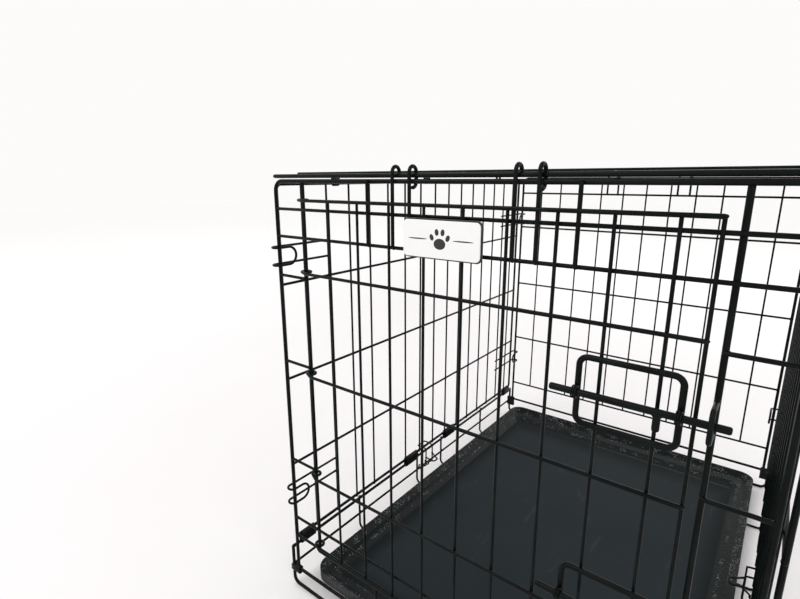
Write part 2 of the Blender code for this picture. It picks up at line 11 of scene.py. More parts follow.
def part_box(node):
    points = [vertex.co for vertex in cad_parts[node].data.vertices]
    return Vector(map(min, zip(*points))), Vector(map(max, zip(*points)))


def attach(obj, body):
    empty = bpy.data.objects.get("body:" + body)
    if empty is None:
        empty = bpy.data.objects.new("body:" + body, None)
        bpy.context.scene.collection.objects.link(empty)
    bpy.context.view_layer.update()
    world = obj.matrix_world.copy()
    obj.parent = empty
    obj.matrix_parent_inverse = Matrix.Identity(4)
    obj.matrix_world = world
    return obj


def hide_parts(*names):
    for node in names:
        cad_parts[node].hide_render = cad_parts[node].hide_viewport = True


X, Y, Z = Vector((1, 0, 0)), Vector((0, 1, 0)), Vector((0, 0, 1))

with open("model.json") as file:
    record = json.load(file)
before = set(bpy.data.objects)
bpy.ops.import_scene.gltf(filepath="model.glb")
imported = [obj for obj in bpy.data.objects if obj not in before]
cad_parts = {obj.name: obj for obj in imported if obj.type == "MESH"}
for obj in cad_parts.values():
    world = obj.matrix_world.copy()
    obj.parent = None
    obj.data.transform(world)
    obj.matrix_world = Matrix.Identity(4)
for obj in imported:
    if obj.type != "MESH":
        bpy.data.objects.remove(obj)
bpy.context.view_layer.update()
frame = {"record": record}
joints = {joint["name"]: joint for joint in frame["record"]["behaviour"]["joints"]}


def place_of(joint):
    return Vector(joints[joint]["pos_m"])


# Wires: radii, the bend at a frame's corner, how deep a weld sinks, and the air between moving wires.
POST_R = 0.0020
BAR_R = 0.0016
THIN_R = 0.0013
DOOR_WIRE_R = 0.0013
CATCH_R = 0.0014
LOCK_R = 0.0012
BRACKET_R = 0.0022
BOLT_R = 0.0025
FRAME_BEND_R = 0.006
WELD_DEPTH = 0.0004
CLEARANCE = 0.0009

# Places that the joints give.
HALF_L = place_of("back_wall_fold").y
FRONT, BACK = -HALF_L, HALF_L
FRONT_HINGE_Z = place_of("front_wall_fold").z
BACK_HINGE_Z = place_of("back_wall_fold").z
SIDE_X = -place_of("top_panel_hinge").x
TOP_Z = place_of("top_panel_hinge").z
JAMB_X = -place_of("door_hinge").x
JAMB_Y = place_of("door_hinge").y
MID_RAIL_Z = place_of("left_lock_hinge").z
LOCK_Y = place_of("left_lock_hinge").y
HALF_W = SIDE_X - 0.0072

# Side walls.
SIDE_BOTTOM, SIDE_TOP = 0.062, 0.497
SIDE_RAILS = (0.388, 0.276, 0.1655)
SIDE_BAYS = 16
BAY = 2 * HALF_L / SIDE_BAYS
SIDE_END_GAP = 0.0063
CATCH_PAIRS = ((0.4310, 0.4120), (0.1400, 0.1210))
CATCH_REACH = 0.0066
CATCH_BOW = 0.019

# End walls.
END_TOP = 0.500
HEADERS = (0.4720, 0.4435)
SILLS = (0.0995, 0.0735)
STUBS = (0.4015, 0.3030, 0.1790)
HEADER_STUB_X = 0.4174 * HALF_W
HOOK_X, HOOK_SPLIT = 0.2897 * HALF_W, 0.0799 * HALF_W
HOOK_BEND_R = POST_R + BAR_R + 0.0012
SILL_STUB_BAYS = 4
BACK_RAILS = (0.472, 0.406, 0.291, 0.1745, 0.072)
BACK_BAYS = 12
BAR_SHIFT = 0.00015
HEADER_WIRE_STEP = POST_R + BAR_R - WELD_DEPTH

# Door, its bolts and its sign.
DOOR_RAILS = (0.4815, 0.4085, 0.2963, 0.1728, 0.0785)
DOOR_WIRES, DOOR_FIRST_WIRE, DOOR_LAST_GAP = 9, 0.0425, 0.0223
DOOR_WIRE_Y = FRONT - HEADER_WIRE_STEP - 0.00115
DOOR_RAIL_Y = DOOR_WIRE_Y - DOOR_WIRE_R - BAR_R + WELD_DEPTH
DOOR_EDGE_X = JAMB_X - 0.0088
DOOR_PITCH = (DOOR_EDGE_X + JAMB_X - DOOR_FIRST_WIRE - DOOR_LAST_GAP) / (DOOR_WIRES - 1)
CURL_LEAD = 0.0085
BOLTS = {"upper": 0.3595, "lower": 0.1920}
BRACKET_Y = DOOR_WIRE_Y - DOOR_WIRE_R - BRACKET_R + WELD_DEPTH
BRACKET_RIGHT = DOOR_EDGE_X - 0.0085
BRACKET_LEFT = BRACKET_RIGHT - 0.064
BRACKET_HALF = 0.0245
BOLT_Y = BRACKET_Y - BRACKET_R - BOLT_R - CLEARANCE
STAPLE_HALF = 0.0105
STAPLE_BEND_R = 0.004

SIGN_DEPTH, BACKING_DEPTH = 0.00155, 0.0012
PRINT_HEIGHT = 0.0002

# Base, its pan and its locks.
BASE_RAIL_Z = 0.053
BASE_END_Y = HALF_L + 0.0014
BASE_UPRIGHTS = (0.954 * BAY, 4.715 * BAY)
BASE_BEND_R = 0.008
FLOOR_RUNNERS = 5
PAN_BACK_STRETCH = 1.8
LOCK_HALF = 0.009
LOCK_HOOK_R = 0.0385
LOCK_LEG = 0.0108

# Hinge clips.
CLIP_LOBE_R = 0.0034
CLIP_END_GAP = 0.0012
CLIP_WAIST = 0.42

# Camera.
CAMERA_PLACE = (0.2059, -0.6389, 0.5033)
CAMERA_YAW = 0.6675
CAMERA_PITCH = 0.2409
CAMERA_ROLL = -0.0042
CAMERA_LENS = 22.38
SENSOR_WIDTH = 36


def spaced(low, high, bays):
    return [low + (high - low) * step / bays for step in range(1, bays)]


def arc(centre, radius, start, end, along, across, steps=0):
    """Points round centre from start to end degrees, where 0 is along and 90 is across."""
    steps = steps or max(3, round(abs(end - start) / 11))
    points = []
    for step in range(steps + 1):
        angle = math.radians(start + (end - start) * step / steps)
        points.append(Vector(centre) + radius * (math.cos(angle) * along + math.sin(angle) * across))
    return points


def rounded_loop(low, high, middle, low_r, high_r, u, v):
    """A rectangle with round corners in the plane of u and v, from low to high, through middle."""
    corners = (
        (high[0] - low_r, low[1] + low_r, low_r, -90),
        (high[0] - high_r, high[1] - high_r, high_r, 0),
        (low[0] + high_r, high[1] - high_r, high_r, 90),
        (low[0] + low_r, low[1] + low_r, low_r, 180),
    )
    points = []
    for a, b, radius, start in corners:
        points += arc(Vector(middle) + a * u + b * v, radius, start, start + 90, u, v, 7)
    return points


# Materials.


class Signal:
    """The output of a shader node, which Python's operators turn into more Math nodes."""

    def __init__(self, finish, socket):
        self.finish = finish
        self.socket = socket

    def apply(self, operation, *values):
        math_node = self.finish.node("ShaderNodeMath", {"operation": operation}, dict(enumerate(values)))
        return Signal(self.finish, math_node.outputs[0])

    def __add__(self, other):
        return self.apply("ADD", self, other)

    def __mul__(self, other):
        return self.apply("MULTIPLY", self, other)

    def __sub__(self, other):
        return self.apply("SUBTRACT", self, other)

    def __rsub__(self, other):
        return self.apply("SUBTRACT", other, self)

    __radd__ = __add__
    __rmul__ = __mul__

    def above(self, edge, softness):
        """0 below edge and 1 above edge + softness, with a smooth change between."""
        ramp = self.finish.node(
            "ShaderNodeMapRange",
            {"interpolation_type": "SMOOTHSTEP"},
            {"Value": self, "From Min": edge, "From Max": edge + softness},
        )
        return Signal(self.finish, ramp.outputs[0])

    def largest(self, other):
        return self.apply("MAXIMUM", self, other)

    def smallest(self, other):
        return self.apply("MINIMUM", self, other)

    def size(self):
        return self.apply("ABSOLUTE", self)

    def between(self, low, high, softness):
        """1 from low to high, and 0 outside."""
        return self.above(low, softness) * (1 - self.above(high, softness))


class Finish:
    """A material under construction."""

    def __init__(self, name, **constants):
        self.material = bpy.data.materials.new(name)
        self.material.use_nodes = True
        self.tree = self.material.node_tree
        self.shader = self.tree.nodes["Principled BSDF"]
        for socket, value in constants.items():
            self.shader.inputs[socket.replace("_", " ")].default_value = value
        self.coordinates = self.node("ShaderNodeTexCoord").outputs["Object"]

    def node(self, kind, settings=None, values=None):
        made = self.tree.nodes.new(kind)
        for name, value in (settings or {}).items():
            setattr(made, name, value)
        for name, value in (values or {}).items():
            self.set_input(made.inputs[name], value)
        return made

    def stretched(self, scale):
        mapping = self.node("ShaderNodeMapping", {}, {"Vector": self.coordinates, "Scale": scale})
        return mapping.outputs[0]

    def noise(self, per_metre, detail=3, roughness=0.55, stretch=(1, 1, 1)):
        values = {"Vector": self.stretched(stretch), "Scale": per_metre}
        values.update({"Detail": detail, "Roughness": roughness})
        return Signal(self, self.node("ShaderNodeTexNoise", {}, values).outputs[0])

    def cells(self, per_metre, randomness=1.0, feature="F1"):
        values = {"Vector": self.coordinates, "Scale": per_metre, "Randomness": randomness}
        made = self.node("ShaderNodeTexVoronoi", {"feature": feature}, values)
        return Signal(self, made.outputs["Distance"])

    def axes(self):
        split = self.node("ShaderNodeSeparateXYZ", {}, {0: self.coordinates})
        return [Signal(self, output) for output in split.outputs]

    def mix(self, amount, first, second):
        """A colour between first and second. The mix node's colour sockets are numbered 6, 7 and 2."""
        values = {0: amount, 6: first, 7: second}
        return self.node("ShaderNodeMix", {"data_type": "RGBA"}, values).outputs[2]

    def set_input(self, socket, value):
        value = value.socket if isinstance(value, Signal) else value
        if isinstance(value, bpy.types.NodeSocket):
            self.tree.links.new(value, socket)
        else:
            socket.default_value = value

    def set(self, name, value):
        self.set_input(self.shader.inputs[name], value)

    def relief(self, height, depth, strength=1.0):
        values = {"Height": height, "Distance": depth, "Strength": strength}
        self.set("Normal", self.node("ShaderNodeBump", {}, values).outputs[0])


def black_coating(name, base, lifted, speck):
    """A thin black dip coating on steel: orange peel, soft gloss changes, dust and small chips."""
    finish = Finish(name, IOR=1.34, Specular_IOR_Level=0.13, Coat_Roughness=0.14)
    cloud = finish.noise(38, 4)
    peel = finish.noise(1400, 2)
    grime = finish.noise(260, 5, 0.65)
    chips = finish.cells(330)
    chip = (1 - chips.above(0.045, 0.03)) * grime.above(0.56, 0.06)
    colour = finish.mix(cloud.above(0.35, 0.35), base, lifted)
    finish.set("Base Color", finish.mix(chip, colour, speck))
    finish.set("Roughness", 0.17 + 0.18 * grime + 0.08 * cloud + 0.15 * chip)
    finish.set("Coat Weight", 0.03 - 0.02 * grime.above(0.5, 0.2))
    finish.relief(peel * 0.6 + grime * 0.8 - chip * 1.2, 0.00008, 0.55)
    return finish.material


def pan_plastic():
    """Vacuum formed charcoal plastic: a glossy pebbled rim round a smooth matte floor."""
    finish = Finish("charcoal_pan_plastic", IOR=1.40, Specular_IOR_Level=0.08, Coat_Roughness=0.14)
    low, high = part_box("pan")
    x, y, z = finish.axes()
    from_sides = high[0] - x.size()
    from_ends = (y - low[1]).smallest((high[1] - y) * (1 / PAN_BACK_STRETCH))
    inset = from_sides.smallest(from_ends) * 1000
    rim = 1 - inset.above(25.2, 1.6)
    slopes = inset.between(-1, 9.5, 1.5).largest(inset.between(16.5, 20.5, 1.0))
    pebbles = finish.cells(330, 0.9, "SMOOTH_F1")
    fine = finish.noise(900, 4, 0.6)
    cloud = finish.noise(9, 4)
    glint_clumps = finish.noise(70, 3).above(0.46, 0.12)
    scuffs = finish.noise(60, 5, 0.7, (1, 0.16, 1)).above(0.60, 0.10)
    # Painted glints: near-white flecks in clumps on the rim's slopes, standing in for light caught by glossy
    # pebbles.
    painted_glints = (1 - finish.cells(620).above(0.17, 0.07)) * glint_clumps * slopes
    # Painted sheen: the outer skirt is lightened to stand in for light bounced up from the floor.
    skirt_painted_sheen = 1 - inset.above(0.15, 0.3)
    shadow = 1 - inset.above(26, 26)
    floor_colour = finish.mix(cloud, (0.0120, 0.0165, 0.0185, 1), (0.0170, 0.0225, 0.0250, 1))
    floor_colour = finish.mix(shadow * 0.75, floor_colour, (0.0035, 0.0065, 0.0070, 1))
    rim_colour = finish.mix(fine, (0.0020, 0.0035, 0.0037, 1), (0.0065, 0.0090, 0.0095, 1))
    # Painted sheen: lighter grey mixed into the outer skirt's colour.
    rim_colour = finish.mix(skirt_painted_sheen * 0.8, rim_colour, (0.040, 0.043, 0.045, 1))
    # Painted glints: near-white flecks mixed into the rim colour.
    rim_colour = finish.mix(painted_glints * 0.8, rim_colour, (0.62, 0.64, 0.66, 1))
    colour = finish.mix(rim, floor_colour, rim_colour)
    finish.set("Base Color", finish.mix(scuffs * 0.06, colour, (0.16, 0.165, 0.17, 1)))
    finish.set("Roughness", 0.55 + 0.10 * fine - 0.06 * cloud - rim * (0.24 - 0.10 * fine))
    finish.set("Coat Weight", rim * 0.10)
    height = (1 - rim) * fine * 0.16 + rim * ((1 - pebbles) * 1.2 + fine * 0.25)
    finish.relief(height, 0.0006, 0.85)
    return finish.material


def plate_plastic(name, base, shade, roughness):
    """Injection moulded plastic with a very fine texture and faint handling marks."""
    finish = Finish(name, IOR=1.47)
    cloud = finish.noise(45, 4)
    fine = finish.noise(1800, 3)
    marks = finish.noise(190, 5, 0.7, (1, 1, 0.2)).above(0.62, 0.08)
    colour = finish.mix(cloud * 0.7, base, shade)
    finish.set("Base Color", finish.mix(marks * 0.12, colour, shade))
    finish.set("Roughness", roughness + 0.10 * cloud + 0.08 * marks)
    finish.relief(fine * 0.5 + cloud * 0.3, 0.00006, 0.6)
    return finish.material


def pale_floor():
    finish = Finish("pale_floor")
    cloud = finish.noise(1.3, 4)
    x, y, z = finish.axes()
    # Painted light: the floor turns whiter away from the crate, fading into the bright backdrop.
    painted_brightening = x.size().largest(y.size()).above(0.6, 2.2)
    near = finish.mix(cloud, (0.74, 0.715, 0.72, 1), (0.80, 0.785, 0.787, 1))
    finish.set("Base Color", finish.mix(painted_brightening, near, (1.0, 0.995, 0.99, 1)))
    finish.set("Roughness", 0.50 + 0.12 * cloud)
    finish.relief(finish.noise(260, 3), 0.0002, 0.2)
    return finish.material


# Pieces.


def show(name, mesh, material, body, nodes=()):
    made = bpy.data.objects.new(name, mesh)
    bpy.context.scene.collection.objects.link(made)
    made.data.materials.clear()
    made.data.materials.append(material)
    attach(made, body)
    if nodes:
        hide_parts(*nodes)
    return made


def mesh_of(work, name):
    mesh = bpy.data.meshes.new(name)
    work.to_mesh(mesh)
    work.free()
    return mesh


def smooth(mesh, angle):
    mesh.shade_smooth()
    mesh.set_sharp_from_angle(angle=math.radians(angle))


class Wirework:
    """Round wires and the weld spots where they cross, as one piece."""

    def __init__(self, name):
        self.name = name
        self.curve = bpy.data.curves.new(name, "CURVE")
        self.curve.dimensions = "3D"
        self.curve.bevel_depth = 1.0
        self.curve.bevel_resolution = 4
        self.curve.use_fill_caps = True
        self.spots = []

    def wire(self, points, radius, closed=False):
        """A wire along points, with its cut ends slightly rounded."""
        points = [(Vector(point), radius) for point in points]
        if not closed:
            points = self.rounded_end(points[::-1])
            points = self.rounded_end(points[::-1])
        line = self.curve.splines.new("POLY")
        line.points.add(len(points) - 1)
        for point, (place, size) in zip(line.points, points):
            point.co = (*place, 1)
            point.radius = size
        line.use_cyclic_u = closed

    def rounded_end(self, points):
        (end, radius), (before, _) = points[-1], points[-2]
        back = (before - end).normalized()
        rounding = ((0.55, 1.0), (0.28, 0.93), (0.08, 0.74), (0.0, 0.45))
        return points[:-1] + [(end + back * radius * far, radius * size) for far, size in rounding]

    def spot(self, place, radius, along):
        """The small squashed fillet that resistance welding leaves round a crossing."""
        self.spots.append((Vector(place), radius, along))

    def finish(self, material, body, node):
        guide = bpy.data.objects.new(self.name + "_path", self.curve)
        mesh = bpy.data.meshes.new_from_object(guide)
        bpy.data.objects.remove(guide)
        work = bmesh.new()
        work.from_mesh(mesh)
        for place, radius, along in self.spots:
            squash = Matrix.Diagonal(tuple(1.45 if axis else 1.0 for axis in along)).to_4x4()
            where = Matrix.Translation(place) @ squash
            bmesh.ops.create_icosphere(work, subdivisions=2, radius=radius, matrix=where)
        bmesh.ops.recalc_face_normals(work, faces=work.faces)
        made = mesh_of(work, self.name)
        smooth(made, 60)
        return show(self.name, made, material, body, [node])


def side_wall(side, node, coating):
    thin_x = SIDE_X - POST_R - THIN_R + WELD_DEPTH
    rail_x = thin_x + THIN_R + BAR_R - WELD_DEPTH
    y0, y1 = FRONT + SIDE_END_GAP, BACK - SIDE_END_GAP
    work = Wirework(node + "_wires")
    near, far = (y0, SIDE_BOTTOM), (y1, SIDE_TOP)
    work.wire(rounded_loop(near, far, side * SIDE_X * X, FRAME_BEND_R, FRAME_BEND_R, Y, Z), POST_R, True)
    for y in spaced(FRONT, BACK, SIDE_BAYS):
        work.wire([(side * thin_x, y, SIDE_BOTTOM - 0.0005), (side * thin_x, y, SIDE_TOP + 0.0005)], THIN_R)
        for z in (SIDE_BOTTOM, SIDE_TOP):
            work.spot((side * (thin_x + THIN_R), y, z), 0.0013, (0, 1, 0))
        for z in SIDE_RAILS:
            work.spot((side * (thin_x + THIN_R), y, z), 0.0012, (0, 1, 0))
    for z in SIDE_RAILS:
        work.wire([(side * rail_x, y0, z), (side * rail_x, y1, z)], BAR_R)
        for y in (y0, y1):
            work.spot((side * rail_x, y, z), 0.0021, (0, 1, 0))
    stub_x = thin_x + THIN_R + CATCH_R - WELD_DEPTH
    for end in (-1, 1):
        for top, bottom in CATCH_PAIRS:
            spring_catch(work, side, end, top, bottom, stub_x)
    work.finish(coating, "base", node)


def spring_catch(work, side, end, top, bottom, stub_x):
    """One wire that goes round the end wall's post and comes back inside it as a finger bow."""
    root_y = end * (HALF_L - 2 * BAY - THIN_R)
    inner_x = HALF_W - POST_R - CLEARANCE - CATCH_R
    turn_r = (stub_x - inner_x) / 2
    turn_x = side * (stub_x + inner_x) / 2
    turn_y = end * (HALF_L + CATCH_REACH - turn_r)
    bow_r = (top - bottom) / 2
    bow_y = end * (HALF_L - CATCH_BOW + bow_r)
    points = [Vector((side * stub_x, root_y, top))]
    points += arc((turn_x, turn_y, top), turn_r, 0, 180, side * X, end * Y)
    points += arc((side * inner_x, bow_y, (top + bottom) / 2), bow_r, 90, -90, -end * Y, Z)
    points += arc((turn_x, turn_y, bottom), turn_r, 180, 0, side * X, end * Y)
    points.append(Vector((side * stub_x, root_y, bottom)))
    work.wire(points, CATCH_R)
    for z in (top, bottom):
        for bays in (1, 2):
            y = end * (HALF_L - bays * BAY)
            work.spot((side * (stub_x - CATCH_R), y, z), 0.0013, (0, 1, 0))


def top_hooks(work, y, out, foot):
    """Wires that rise past the top wire and bend over the top panel's end wire."""
    wire_y = y + out * HEADER_WIRE_STEP
    middle = Vector((0, wire_y - out * HOOK_BEND_R, TOP_Z + 0.0025))
    low = middle.copy()
    low.z = END_TOP - 0.0002
    for side in (-1, 1):
        places = (HOOK_X, HOOK_X - HOOK_SPLIT)
        open_x, eye_x = places if side < 0 else places[::-1]
        start = Vector((0, wire_y, foot))
        over = arc(middle, HOOK_BEND_R, 0, 180, out * Y, Z)
        under = arc(low, HOOK_BEND_R, 180, 285, out * Y, Z)
        for x, points in ((open_x, [start] + over), (eye_x, [start] + over + under)):
            work.wire([point + side * x * X for point in points], BAR_R)
            work.spot((side * x, y + out * POST_R, END_TOP), 0.0017, (1, 0, 0))


def end_frame(work, y, hinge_z):
    loop = rounded_loop((-HALF_W, hinge_z), (HALF_W, END_TOP), y * Y, 0.003, 0.010, X, Z)
    work.wire(loop, POST_R, True)


def front_wall(coating):
    work = Wirework("front_wall_wires")
    end_frame(work, FRONT, FRONT_HINGE_Z)
    bar_y = FRONT - BAR_SHIFT
    for z in HEADERS + SILLS:
        work.wire([(-HALF_W, bar_y, z), (HALF_W, bar_y, z)], BAR_R)
        for side in (-1, 1):
            work.spot((side * (HALF_W - POST_R), bar_y, z), 0.0019, (1, 0, 0))
            work.spot((side * JAMB_X, bar_y + BAR_R * 0.8, z), 0.0020, (1, 0, 0))
    foot = HEADERS[1] - BAR_R / 2
    wire_y = FRONT - HEADER_WIRE_STEP
    for side in (-1, 1):
        for z in STUBS:
            work.wire([(side * HALF_W, bar_y, z), (side * (JAMB_X - 0.0006), bar_y, z)], BAR_R)
            work.spot((side * (HALF_W - POST_R), bar_y, z), 0.0019, (1, 0, 0))
            work.spot((side * (JAMB_X + POST_R / 2), bar_y + 0.001, z), 0.0019, (1, 0, 0))
        low = (side * JAMB_X, JAMB_Y, SILLS[1] - 0.001)
        work.wire([low, (side * JAMB_X, JAMB_Y, END_TOP + 0.001)], POST_R)
        x = side * HEADER_STUB_X
        work.wire([(x, wire_y, foot), (x, wire_y, END_TOP + BAR_R)], BAR_R)
        for x in (HEADER_STUB_X, HOOK_X, HOOK_X - HOOK_SPLIT):
            for z in HEADERS:
                work.spot((side * x, bar_y - BAR_R, z), 0.0017, (1, 0, 0))
    for x in spaced(-JAMB_X, JAMB_X, SILL_STUB_BAYS):
        work.wire([(x, wire_y, FRONT_HINGE_Z - 0.0008), (x, wire_y, SILLS[1] + 0.0008)], BAR_R)
        for z in (FRONT_HINGE_Z, SILLS[1]):
            work.spot((x, bar_y - BAR_R, z), 0.0017, (1, 0, 0))
    top_hooks(work, FRONT, -1, foot)
    front_y = BOLT_Y - BOLT_R - BAR_R - CLEARANCE
    for z in BOLTS.values():
        points = [Vector((JAMB_X, JAMB_Y, z + STAPLE_HALF))]
        bend_z = STAPLE_HALF - STAPLE_BEND_R
        for up, start in ((1, 90), (-1, 0)):
            middle = (JAMB_X, front_y + STAPLE_BEND_R, z + up * bend_z)
            points += arc(middle, STAPLE_BEND_R, start, start - 90, -Y, Z)
        points.append(Vector((JAMB_X, JAMB_Y, z - STAPLE_HALF)))
        work.wire(points, BAR_R)
        for up in (-1, 1):
            work.spot((JAMB_X, JAMB_Y - POST_R, z + up * STAPLE_HALF), 0.0020, (0, 0, 1))
    work.finish(coating, "front_wall", "front_wall")


def back_wall(coating):
    work = Wirework("back_wall_wires")
    end_frame(work, BACK, BACK_HINGE_Z)
    bar_y = BACK + BAR_SHIFT
    wire_y = bar_y + BAR_R + THIN_R - WELD_DEPTH
    for z in BACK_RAILS:
        work.wire([(-HALF_W, bar_y, z), (HALF_W, bar_y, z)], BAR_R)
        for side in (-1, 1):
            work.spot((side * (HALF_W - POST_R), bar_y, z), 0.0019, (1, 0, 0))
    for x in spaced(-HALF_W, HALF_W, BACK_BAYS):
        work.wire([(x, wire_y, BACK_RAILS[-1] - 0.0008), (x, wire_y, END_TOP + 0.0005)], THIN_R)
        for z in (*BACK_RAILS, END_TOP):
            work.spot((x, bar_y + BAR_R, z), 0.0012, (1, 0, 0))
    top_hooks(work, BACK, 1, BACK_RAILS[0] - BAR_R / 2)
    work.finish(coating, "back_wall", "back_wall")


def curled_rail(z):
    """A door rail whose left end curls behind the hinge jamb."""
    jamb = Vector((-JAMB_X, JAMB_Y, z))
    curl_r = POST_R + CLEARANCE + BAR_R
    lead = Vector((-JAMB_X + CURL_LEAD, DOOR_RAIL_Y, z))
    reach = lead - jamb
    tangent = math.degrees(math.atan2(reach.y, reach.x) - math.acos(curl_r / reach.length)) + 360
    points = arc(jamb, curl_r, -25, tangent, X, Y)
    bend = [point.lerp(lead, 0.82) for point in points[-1:]]
    return points + bend + [lead + 0.0012 * X + 0.0001 * Y, Vector((DOOR_EDGE_X, DOOR_RAIL_Y, z))]


def door(coating):
    work = Wirework("door_wires")
    xs = [-JAMB_X + DOOR_FIRST_WIRE + DOOR_PITCH * step for step in range(DOOR_WIRES)]
    xs.append(DOOR_EDGE_X - BAR_R / 2)
    for z in DOOR_RAILS:
        work.wire(curled_rail(z), BAR_R)
    for x in xs:
        low, high = DOOR_RAILS[-1] - 0.0008, DOOR_RAILS[0] + 0.0008
        work.wire([(x, DOOR_WIRE_Y, low), (x, DOOR_WIRE_Y, high)], DOOR_WIRE_R)
        for z in DOOR_RAILS:
            work.spot((x, DOOR_WIRE_Y - DOOR_WIRE_R, z), 0.0014, (1, 0, 0))
    for z in BOLTS.values():
        near, far = (BRACKET_LEFT, z - BRACKET_HALF), (BRACKET_RIGHT, z + BRACKET_HALF)
        loop = rounded_loop(near, far, BRACKET_Y * Y, FRAME_BEND_R, FRAME_BEND_R, X, Z)
        work.wire(loop, BRACKET_R, True)
        for x in xs:
            if BRACKET_LEFT < x < BRACKET_RIGHT:
                for up in (-1, 1):
                    work.spot((x, DOOR_WIRE_Y - DOOR_WIRE_R, z + up * BRACKET_HALF), 0.0016, (1, 0, 0))
        for x in (BRACKET_LEFT, BRACKET_RIGHT):
            eye_r = BOLT_R + CLEARANCE + 0.0006
            for turn in (-1, 0, 1):
                ring = arc((x + turn * 0.0013, BOLT_Y, z), eye_r, 0, 345, Y, Z, 24)
                work.wire(ring, 0.00058, True)
    work.finish(coating, "door", "door")


def bolt(name, z, coating):
    work = Wirework(name + "_rod")
    tail, nose = BRACKET_LEFT - 0.018, JAMB_X + 0.0105
    work.wire([(x, BOLT_Y, z) for x in (tail, tail + 0.002, nose - 0.002, nose)], BOLT_R)
    grip_x = BRACKET_RIGHT - 0.012
    work.wire([(grip_x, BOLT_Y, z), (grip_x, BOLT_Y, z - 0.013)], BOLT_R * 0.96)
    work.spot((grip_x, BOLT_Y, z - BOLT_R * 0.7), 0.00245, (1, 0, 0))
    work.finish(coating, name, name)


def top_panel(coating):
    work = Wirework("top_panel_wires")
    x, y = SIDE_X, HALF_L - HOOK_BEND_R + HEADER_WIRE_STEP
    work.wire(rounded_loop((-x, -y), (x, y), TOP_Z * Z, 0.008, 0.008, X, Y), POST_R, True)
    cross_z = TOP_Z + POST_R + THIN_R - WELD_DEPTH
    runner_z = cross_z - THIN_R - BAR_R + WELD_DEPTH
    runners = [place + 0.0002 for place in spaced(-HALF_W, HALF_W, 4)]
    for place in spaced(FRONT, BACK, SIDE_BAYS):
        work.wire([(-x - 0.0005, place, cross_z), (x + 0.0005, place, cross_z)], THIN_R)
        for at in (-x, x, *runners):
            work.spot((at, place, cross_z - THIN_R), 0.0012, (0, 1, 0))
    for place in runners:
        work.wire([(place, -y, runner_z), (place, y, runner_z)], BAR_R)
        for end in (-1, 1):
            work.spot((place, end * (y - POST_R), runner_z), 0.0019, (0, 1, 0))
    work.finish(coating, "top_panel", "top_panel")


def base_frame(coating):
    work = Wirework("base_frame_wires")
    for side in (-1, 1):
        for z, radius in ((BASE_RAIL_Z, POST_R), (MID_RAIL_Z, BAR_R)):
            work.wire([(side * SIDE_X, -BASE_END_Y, z), (side * SIDE_X, BASE_END_Y, z)], radius)
            for end in (-1, 1):
                work.spot((side * SIDE_X, end * (BASE_END_Y - POST_R), z), radius * 1.15, (0, 1, 0))
    cross_x = SIDE_X + POST_R + BAR_R - WELD_DEPTH - 0.0001
    runner_z = 3 * BAR_R - WELD_DEPTH
    runners = spaced(-HALF_W, HALF_W, FLOOR_RUNNERS + 1)
    crosses = [(side * y, cross_x, BAR_R) for y in BASE_UPRIGHTS for side in (-1, 1)]
    for y, x, radius in crosses + [(end * BASE_END_Y, SIDE_X, POST_R) for end in (-1, 1)]:
        points = [Vector((-x, y, BASE_RAIL_Z + 0.001))]
        points += arc((-x + BASE_BEND_R, y, radius + BASE_BEND_R), BASE_BEND_R, 180, 270, X, Z)
        points += arc((x - BASE_BEND_R, y, radius + BASE_BEND_R), BASE_BEND_R, -90, 0, X, Z)
        points.append(Vector((x, y, BASE_RAIL_Z + 0.001)))
        work.wire(points, radius)
        for at in runners:
            work.spot((at, y, 2 * radius - 0.0002), 0.0016, (0, 1, 0))
        for side in (-1, 1):
            for z in (BASE_RAIL_Z, MID_RAIL_Z):
                work.spot((side * (x + SIDE_X) / 2, y, z), 0.0018, (0, 0, 1))
    reach = runners[-1] + 0.006
    work.wire([(-reach, 0, BAR_R), (reach, 0, BAR_R)], BAR_R)
    for at in runners:
        work.wire([(at, -BASE_END_Y - 0.001, runner_z), (at, BASE_END_Y + 0.001, runner_z)], BAR_R)
        work.spot((at, 0, 2 * BAR_R - 0.0002), 0.0016, (0, 1, 0))
    work.finish(coating, "base", "base_frame")


def side_lock(side, node, coating):
    """A wire latch that hooks over the side wall's bottom wire."""
    work = Wirework(node + "_wire")
    pivot = Vector((side * SIDE_X, 0, MID_RAIL_Z))
    inward = -side * X
    eye_r = BAR_R + CLEARANCE + LOCK_R
    leg_angle = math.degrees(math.acos(LOCK_LEG / LOCK_HOOK_R))
    leg = arc(pivot, eye_r, -250, 25, inward, Z)
    elbow = pivot + LOCK_LEG * inward + 0.007 * Z
    leg += [leg[-1].lerp(elbow, 0.75), elbow, elbow + 0.002 * Z]
    leg += arc(pivot, LOCK_HOOK_R, leg_angle, 98, inward, Z)
    points = [point + (LOCK_Y - LOCK_HALF) * Y for point in leg]
    points += [point + (LOCK_Y + LOCK_HALF) * Y for point in leg[::-1]]
    work.wire(points, LOCK_R)
    start = pivot + LOCK_LEG * inward + 0.022 * Z
    reach = start + 0.014 * inward - 0.004 * Z
    bend_r = 0.004
    loop = [start + (LOCK_Y - LOCK_HALF) * Y]
    loop += arc(reach - bend_r * inward + (LOCK_Y - 0.002) * Y, bend_r, -90, 0, inward, Y)
    loop += arc(reach - bend_r * inward + (LOCK_Y + 0.002) * Y, bend_r, 0, 90, inward, Y)
    loop.append(start + (LOCK_Y + LOCK_HALF) * Y)
    work.wire(loop, LOCK_R)
    for end in (-1, 1):
        work.spot(start + (LOCK_Y + end * LOCK_HALF) * Y, 0.0014, (0, 1, 0))
    work.finish(coating, node, node)


def sheet_faces_out(mesh, middle):
    face = mesh.polygons[0]
    across = face.center - middle
    return face.normal.dot(Vector((across.x, 0, across.z))) > 0


